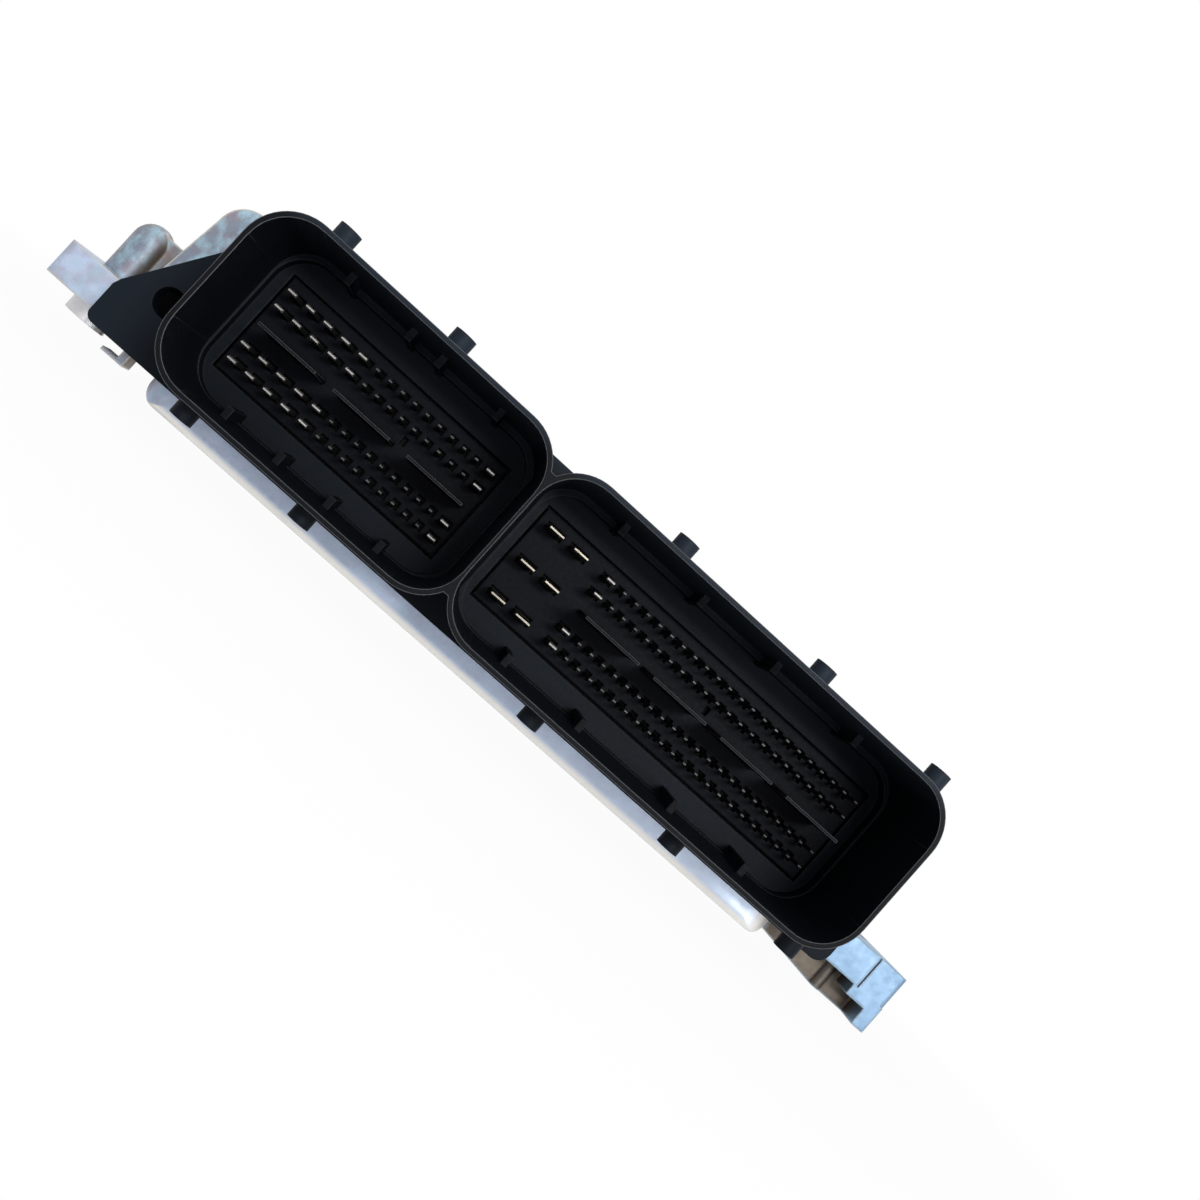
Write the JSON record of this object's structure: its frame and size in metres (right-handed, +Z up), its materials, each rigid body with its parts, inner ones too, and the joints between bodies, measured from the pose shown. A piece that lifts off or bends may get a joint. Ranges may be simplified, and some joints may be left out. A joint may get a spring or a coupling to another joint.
{
  "type": "engine control unit",
  "caption": "Flat cast-aluminium engine control unit with a black two-socket pin header along one long side, a vented ear, cover bosses and mounting feet.",
  "frame": {"origin": "centre of the footprint, on the face that the base rests on", "axes": "+X along the header from the small to the large socket, +Y from the sockets to the rear wall, +Z up"},
  "size_m": [0.1836, 0.14, 0.0399],
  "materials": {
    "cast_base": "die cast, fine grain",
    "cast_cover": "die cast, fine grain",
    "header_plastic": "moulded, satin",
    "carrier_plastic": "moulded, matt",
    "pin_metal": "tin plated",
    "blade_metal": "tin plated",
    "seal_rubber": "matt",
    "membrane": "matt",
    "board": "solder mask",
    "chip_plastic": "moulded",
    "capacitor_can": "drawn can",
    "inductor_body": "ferrite",
    "ceramic_body": "fired",
    "pad_silicone": "soft",
    "screw_steel": "zinc plated"
  },
  "bodies": {
    "root": {"housing_base": "cast_base", "housing_cover": "cast_cover", "connector_header": "header_plastic", "pin_carrier_60": "carrier_plastic", "pin_carrier_94": "carrier_plastic", "signal_pins_60": "pin_metal", "wide_pins_60": "pin_metal", "signal_pins_94": "pin_metal", "wide_pins_94": "pin_metal", "power_blades": "blade_metal", "header_seal": "seal_rubber", "housing_seal": "seal_rubber", "vent_membrane": "membrane", "circuit_board": "board", "microcontroller": "chip_plastic", "flash_memory": "chip_plastic", "driver_chips": "chip_plastic", "power_transistors": "chip_plastic", "reservoir_capacitors": "capacitor_can", "power_inductors": "inductor_body", "ceramic_capacitors": "ceramic_body", "shunt_resistors": "chip_plastic", "crystal": "capacitor_can", "pressure_sensor": "chip_plastic", "thermal_pad": "pad_silicone", "cover_screws": "screw_steel", "board_screws": "screw_steel"}
  },
  "joints": []
}
